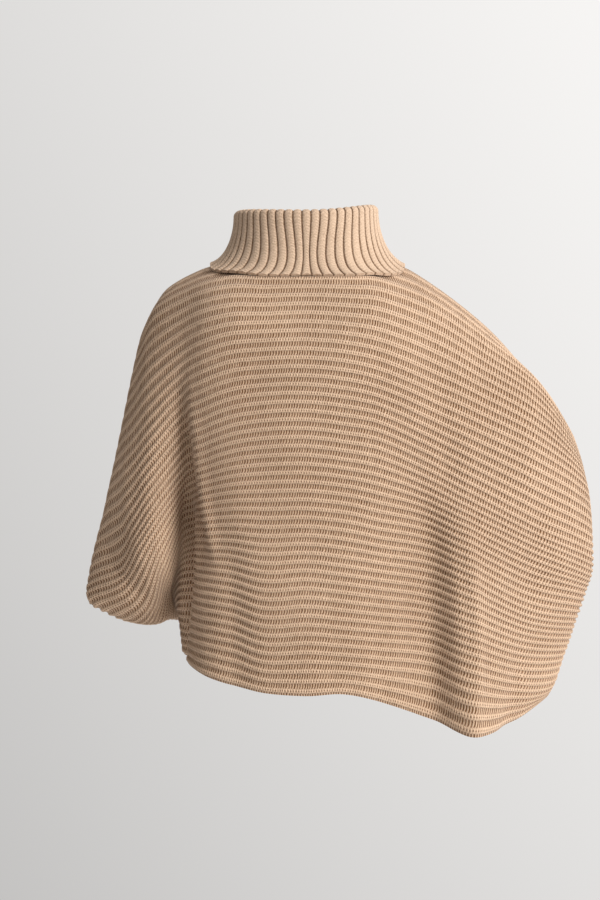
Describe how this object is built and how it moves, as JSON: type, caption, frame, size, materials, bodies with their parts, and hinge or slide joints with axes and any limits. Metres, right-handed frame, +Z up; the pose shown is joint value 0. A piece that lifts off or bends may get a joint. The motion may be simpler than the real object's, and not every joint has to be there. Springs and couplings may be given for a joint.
{
  "type": "knitted poncho sweater",
  "caption": "Wide ribbed knit poncho sweater in camel beige with a turned-down roll collar, arm openings in the side edges and an uneven hem, in its worn shape with one elbow held out.",
  "frame": {"origin": "middle of the neck opening, level with the shoulders", "axes": "+X the wearer's left, +Y the back, +Z up"},
  "size_m": [0.7137, 0.3153, 0.7277],
  "materials": {
    "body_knit": "matt wool-blend yarn, knitted sideways so that its ribs lie level, a raised ridge and a recessed channel in turn",
    "collar_knit": "matt wool-blend yarn in a round, slightly fuzzy upright rib"
  },
  "bodies": {
    "root": {"back_panel": "body_knit", "front_panel": "body_knit", "collar": "collar_knit"}
  },
  "joints": []
}
